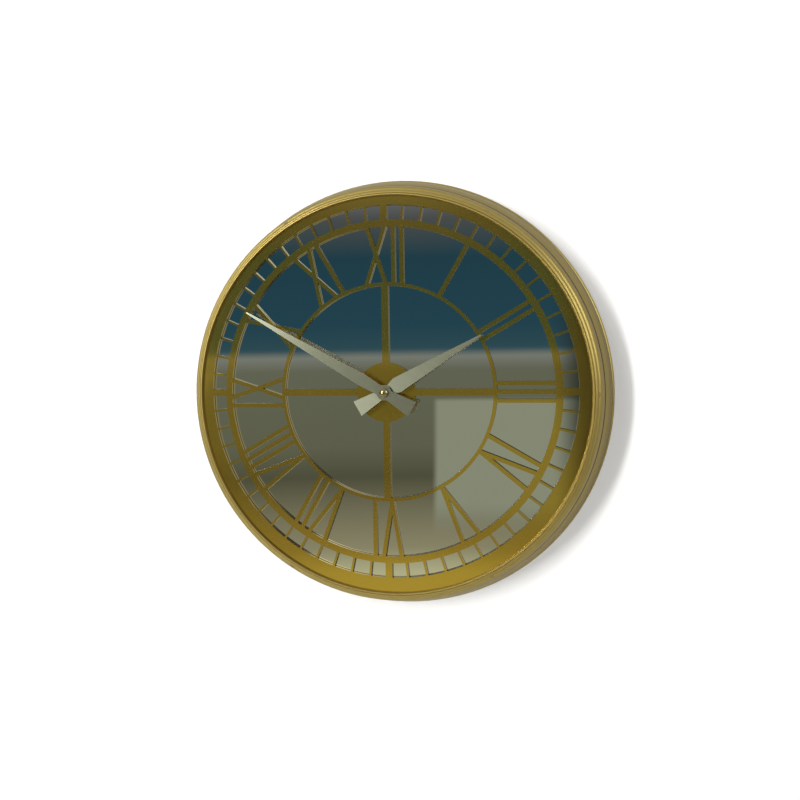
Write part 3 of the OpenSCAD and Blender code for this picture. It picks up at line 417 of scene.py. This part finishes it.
# Electronics: a small fibreglass board under green solder mask with the chip sealed in a drop of
# black resin, and the quartz crystal in its drawn tin-plated can.
solder_mask = finish("solder_mask", (0.030, 0.17, 0.07), (0.018, 0.11, 0.045), (0.22, 0.36),
                     scale=240, cloud=420, stretch=(4, 1, 0.4), relief=0.3, depth=0.00004)
board_low, board_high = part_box("circuit_board")
resin_black = (0.012, 0.012, 0.013)
resin_drop = ((board_low.x + board_high.x) / 2, 0.0, 0.004)
resin_r, resin_soft = 0.00348, 0.0001
chip_r = rings_in(solder_mask, resin_drop)["Radius"]
overlay(solder_mask, band_mask(solder_mask, chip_r, 0.0, resin_r, resin_soft), resin_black, 0.25)
dress(solder_mask, "circuit_board")
tin_can = finish("tin_can", (0.66, 0.67, 0.69), (0.55, 0.56, 0.58), (0.2, 0.32), metallic=1.0,
                 scale=900, cloud=300, stretch=(1, 1, 0.1), relief=0.1)
dress(tin_can, "quartz_crystal")


# Battery and contacts: an AA cell in a plain dark sleeve with bare steel ends, between two
# contact strips bent from nickel-plated spring steel.
nickel_strip = finish("nickel_strip", (0.62, 0.60, 0.56), (0.50, 0.48, 0.45), (0.22, 0.36), metallic=1.0,
                      scale=500, cloud=160, stretch=(0.2, 1, 1), relief=0.15)
dress(nickel_strip, "contact_positive", "contact_negative")
cell_sleeve = finish("cell_sleeve", (0.045, 0.055, 0.075), (0.032, 0.040, 0.056), (0.18, 0.28),
                     scale=700, cloud=60, stretch=(0.2, 1, 1), relief=0.1)
cell_low, cell_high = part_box("battery")
bare_steel = (0.60, 0.60, 0.61)
sleeve_short, sleeve_soft = 0.0016, 0.00005
along_cell = axes_of(cell_sleeve.node_tree, place_in(cell_sleeve))["X"]
for cell_end in (cell_low.x, cell_high.x):
    overlay(cell_sleeve, band_mask(cell_sleeve, along_cell, cell_end, sleeve_short, sleeve_soft),
            bare_steel, 0.28, 1.0)
dress(cell_sleeve, "battery")


# Hands: hour and minute hand stamped from thin aluminium sheet with a riveted collar, anodised
# in champagne with a hairline brushing along each blade, and left plain and dull at the rear.
# They are the solids' hands with the hub and the blade's belly and tip cut wider.
def wider_hand(node, body, lie, belly, belly_w, tip_w):
    """A copy of a hand with a wider hub and blade, which stands for it and turns with its body."""
    along = Vector((math.sin(lie), 0.0, math.cos(lie)))
    across = Vector((math.cos(lie), 0.0, -math.sin(lie)))
    mesh = nodes[node].data.copy()
    mesh.name = node + "_sheet"
    stored_normals = mesh.attributes.get("custom_normal")
    if stored_normals:
        mesh.attributes.remove(stored_normals)
    shape = bmesh.new()
    shape.from_mesh(mesh)
    bmesh.ops.remove_doubles(shape, verts=shape.verts, dist=0.000001)
    for corner in shape.verts:
        depth = Vector((0.0, corner.co.y, 0.0))
        reach, side = corner.co.dot(along), corner.co.dot(across)
        if abs(math.hypot(reach, side) - solid_hub_r) < hub_slack:
            corner.co = depth + (corner.co - depth) * (hub_r / solid_hub_r)
        elif reach > solid_hub_r:
            is_belly = abs(side) > solid_tip_w
            reach = belly if is_belly else reach
            half = (belly_w if is_belly else tip_w) / 2
            corner.co = depth + along * reach + across * math.copysign(half, side)
    for face in shape.faces:
        face.smooth = True
    for edge in shape.edges:
        edge.smooth = edge.calc_face_angle(math.pi) < sharp_from
    shape.to_mesh(mesh)
    shape.free()
    piece = bpy.data.objects.new(node + "_sheet", mesh)
    bpy.context.collection.objects.link(piece)
    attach(piece, body)
    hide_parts(node)


def rear_mask(material):
    """One on faces that look towards the wall."""
    tree = material.node_tree
    return number_step(tree, "GREATER_THAN", axes_of(tree, normal_in(material))["Y"], 0.5)


champagne_light = (0.238, 0.252, 0.178)
champagne_dark = (0.205, 0.21, 0.145)
plain_rear = (0.22, 0.21, 0.16)
solid_hub_r, hub_slack, solid_tip_w = 0.006, 0.00005, 0.0006
hub_r = 0.0068
sharp_from = math.radians(30)
hand_cuts = (("hour_hand", "hour", 60, 0.0135, 0.0142, 0.0012),
             ("minute_hand", "minute", 300, 0.022, 0.0114, 0.0014))
for hand, body, clock_angle, *cut in hand_cuts:
    lie = math.radians(clock_angle)
    brushed = finish("champagne_" + hand, champagne_light, champagne_dark, (0.34, 0.42), metallic=0.8,
                     scale=420, cloud=24, stretch=(9, 1, 0.12), turn=lie, relief=0.12, depth=0.00001)
    shader_of(brushed).inputs["Anisotropic"].default_value = 0.7
    across = brushed.node_tree.nodes.new("ShaderNodeVectorTransform")
    across.vector_type = "VECTOR"
    across.convert_from = "OBJECT"
    across.convert_to = "WORLD"
    across.inputs["Vector"].default_value = (-math.cos(lie), 0.0, math.sin(lie))
    brushed.node_tree.links.new(across.outputs["Vector"], shader_of(brushed).inputs["Tangent"])
    overlay(brushed, rear_mask(brushed), plain_rear, 0.7, 0.0)
    dress(brushed, hand)
    wider_hand(hand, body, lie, *cut)


# Cap nut: a small domed nut turned from brass and plated pale gold, polished bright, which
# screws on the minute pipe and holds the minute hand.
bright_cap = turned_metal("bright_cap", (0.28, 0.24, 0.115), (0.23, 0.195, 0.09), (0.18, 0.26),
                          pitch=0.0004, depth=0.000006)
dress(bright_cap, "cap_nut")


# Wall and floor: a plain white wall close behind the back rim, and a pale floor below it. From
# behind, the wall is clear, so that the clock's back can be looked at. Polished faces see it with
# a painted reflection: grey beside the clock and paler to the left, where the light comes from.
def sheet_of_stage(name, corners):
    """A flat sheet of the studio, outside the object."""
    mesh = bpy.data.meshes.new(name)
    mesh.from_pydata(corners, [], [tuple(range(len(corners)))])
    o = bpy.data.objects.new(name, mesh)
    bpy.context.collection.objects.link(o)
    return o


wall_y = 0.0006
half_span, floor_z, wall_top, floor_front = 3.0, -1.0, 2.5, -1.6
wall = sheet_of_stage("wall", [(-half_span, wall_y, floor_z), (half_span, wall_y, floor_z),
                               (half_span, wall_y, wall_top), (-half_span, wall_y, wall_top)])
floor = sheet_of_stage("floor", [(-half_span, wall_y, floor_z), (-half_span, floor_front, floor_z),
                                 (half_span, floor_front, floor_z), (half_span, wall_y, floor_z)])
wall.visible_shadow = False
pale_wall = finish("pale_wall", (0.90, 0.90, 0.89), (0.88, 0.88, 0.87), (0.85, 0.95),
                   scale=300, cloud=4, relief=0.05)
wall_tree = pale_wall.node_tree
wall_shader = shader_of(pale_wall)
wall_glow = 0.10
grey_beside, grey_leftward = (0.36, 0.35, 0.31), (0.82, 0.81, 0.75)
beside_x, leftward_x = -0.22, -0.6
wall_ray = wall_tree.nodes.new("ShaderNodeLightPath").outputs
seen = number_step(wall_tree, "MAXIMUM", wall_ray["Is Camera Ray"], wall_ray["Is Glossy Ray"])
wall_shader.inputs["Emission Color"].default_value = (1, 1, 1, 1)
glow = number_step(wall_tree, "MULTIPLY", seen, wall_glow)
wall_tree.links.new(glow, wall_shader.inputs["Emission Strength"])
# Painted reflection: polished faces see the wall grey beside the clock and paler to the left, where the
# light comes from.
leftward = spread(wall_tree, axes_of(wall_tree, place_in(pale_wall))["X"], beside_x, leftward_x)
grey = mix_colours(wall_tree, leftward, grey_beside, grey_leftward)
wall_paint = wall_shader.inputs["Base Color"]
paint_with_painted_reflection = mix_colours(wall_tree, wall_ray["Is Glossy Ray"], wall_paint.links[0].from_socket, grey)
wall_tree.links.new(paint_with_painted_reflection, wall_paint)
clear = wall_tree.nodes.new("ShaderNodeBsdfTransparent")
from_front = wall_tree.nodes.new("ShaderNodeMixShader")
wall_tree.links.new(normal_in(pale_wall, "Backfacing"), from_front.inputs[0])
wall_tree.links.new(wall_shader.outputs["BSDF"], from_front.inputs[1])
wall_tree.links.new(clear.outputs["BSDF"], from_front.inputs[2])
wall_tree.links.new(from_front.outputs["Shader"], wall_tree.nodes["Material Output"].inputs["Surface"])
wall.data.materials.append(pale_wall)
pale_floor = finish("pale_floor", (0.56, 0.55, 0.53), (0.52, 0.51, 0.49), (0.6, 0.8),
                    scale=200, cloud=5, relief=0.05)
floor.data.materials.append(pale_floor)


# Lights: a tall soft box to the left, weaker ones above and to the right, and one behind the wall
# for the clock's back.
def softbox(name, at, width, height, power):
    """A rectangular lamp that points at the middle of the clock."""
    lamp = bpy.data.lights.new(name, "AREA")
    lamp.shape = "RECTANGLE"
    lamp.size = width
    lamp.size_y = height
    lamp.energy = power
    o = bpy.data.objects.new(name, lamp)
    o.location = at
    o.rotation_euler = (-Vector(at)).to_track_quat("-Z", "Y").to_euler()
    bpy.context.collection.objects.link(o)


softbox("key", at=(-1.45, -2.15, 0.30), width=0.20, height=1.0, power=50)
softbox("top", at=(-1.20, -2.0, 1.15), width=0.5, height=0.5, power=11)
softbox("fill", at=(1.75, -1.2, 0.7), width=1.2, height=1.2, power=12)
softbox("rear", at=(-0.8, 1.9, 0.35), width=1.2, height=1.2, power=36)


# Surround: even soft light, and what the polished faces show of the studio. Ahead is a screen of
# plain bands, from a pale floor up to a dark cool band and a bright top, with a pale card low at
# the right of the middle, a dim gap beside it and a pale panel. To the sides all is grey.
world = bpy.data.worlds.new("studio")
bpy.context.scene.world = world
world.use_nodes = True
studio = world.node_tree
even = studio.nodes.new("ShaderNodeBackground")
even.inputs["Color"].default_value = (0.95, 0.97, 1.0, 1)
even.inputs["Strength"].default_value = 0.28
heading = axes_of(studio, studio.nodes.new("ShaderNodeTexCoord").outputs["Generated"])

screen_reach = 0.4
screen_stops = (
    (-0.40, (0.22, 0.21, 0.13)), (-0.36, (0.58, 0.55, 0.33)), (-0.29, (0.48, 0.46, 0.27)),
    (-0.26, (0.28, 0.255, 0.155)), (-0.17, (0.085, 0.083, 0.05)), (-0.13, (0.125, 0.127, 0.082)),
    (-0.03, (0.135, 0.14, 0.095)), (-0.012, (0.20, 0.21, 0.18)), (-0.002, (0.03, 0.075, 0.095)),
    (0.03, (0.018, 0.06, 0.085)), (0.12, (0.016, 0.052, 0.072)), (0.17, (0.075, 0.08, 0.078)),
    (0.215, (0.19, 0.20, 0.20)), (0.26, (0.55, 0.54, 0.48)), (0.33, (0.74, 0.73, 0.66)),
    (0.39, (1.7, 1.67, 1.45)))
screen = studio.nodes.new("ShaderNodeValToRGB")
studio.links.new(spread(studio, heading["Z"], -screen_reach, screen_reach), screen.inputs[0])
while len(screen.color_ramp.elements) < len(screen_stops):
    screen.color_ramp.elements.new(0.5)
for stop, (z, colour) in zip(screen.color_ramp.elements, screen_stops):
    stop.position = (z + screen_reach) / (2 * screen_reach)
    stop.color = (*colour, 1)

card_colour, gap_colour, panel_colour = (0.27, 0.28, 0.20), (0.02, 0.025, 0.02), (0.62, 0.60, 0.50)
card_foot, card_top, card_left = (-0.25, -0.20), (-0.066, -0.074), (-0.152, -0.142)
gap_left, panel_left = (0.0, 0.05), (0.12, 0.30)
card_height = number_step(studio, "MULTIPLY", spread(studio, heading["Z"], *card_foot, smooth=True),
                     spread(studio, heading["Z"], *card_top, smooth=True))
card = number_step(studio, "MULTIPLY", card_height, spread(studio, heading["X"], *card_left, smooth=True))
with_card = mix_colours(studio, card, screen.outputs["Color"], card_colour)
with_gap = mix_colours(studio, spread(studio, heading["X"], *gap_left, smooth=True), with_card, gap_colour)
front = mix_colours(studio, spread(studio, heading["X"], *panel_left, smooth=True), with_gap, panel_colour)

side_low, side_high = (0.14, 0.13, 0.11), (0.66, 0.66, 0.63)
side_reach, ahead_edge = 0.7, (-0.72, -0.86)
sides = mix_colours(studio, spread(studio, heading["Z"], -side_reach, side_reach), side_low, side_high)
around = mix_colours(studio, spread(studio, heading["Y"], *ahead_edge, smooth=True), sides, front)
shown = studio.nodes["Background"]
studio.links.new(around, shown.inputs["Color"])

studio_ray = studio.nodes.new("ShaderNodeLightPath").outputs
pick = studio.nodes.new("ShaderNodeMixShader")
studio.links.new(studio_ray["Is Glossy Ray"], pick.inputs[0])
studio.links.new(even.outputs["Background"], pick.inputs[1])
studio.links.new(shown.outputs["Background"], pick.inputs[2])
plain_white = studio.nodes.new("ShaderNodeBackground")
plain_white.inputs["Color"].default_value = (1, 1, 1, 1)
behind = studio.nodes.new("ShaderNodeMixShader")
studio.links.new(studio_ray["Is Camera Ray"], behind.inputs[0])
studio.links.new(pick.outputs["Shader"], behind.inputs[1])
studio.links.new(plain_white.outputs["Background"], behind.inputs[2])
studio.links.new(behind.outputs["Shader"], studio.nodes["World Output"].inputs["Surface"])


# Camera: on a stand where the photograph was taken, to the right of the hands' axis and a little
# above it, turned, raised and rolled by the angles that the dial's circles give.
camera_place = Vector((0.1433, -0.6991, 0.0401))
turn, rise, roll = (math.radians(a) for a in (13.36, 1.28, -0.95))
back = Vector((math.sin(turn) * math.cos(rise), -math.cos(turn) * math.cos(rise), math.sin(rise)))
right = (-back).cross(Vector((0, 0, 1))).normalized()
up = back.cross(right)
tilted = math.cos(roll) * right + math.sin(roll) * up
lens = bpy.data.cameras.new("camera")
lens.lens = 33.6
lens.shift_x = 0.036
lens.shift_y = -0.044
eye = bpy.data.objects.new("camera", lens)
bpy.context.collection.objects.link(eye)
stand = Matrix((tilted, back.cross(tilted), back)).transposed().to_4x4()
stand.translation = camera_place
eye.matrix_world = stand
bpy.context.scene.camera = eye
bpy.context.scene.view_settings.view_transform = "Standard"
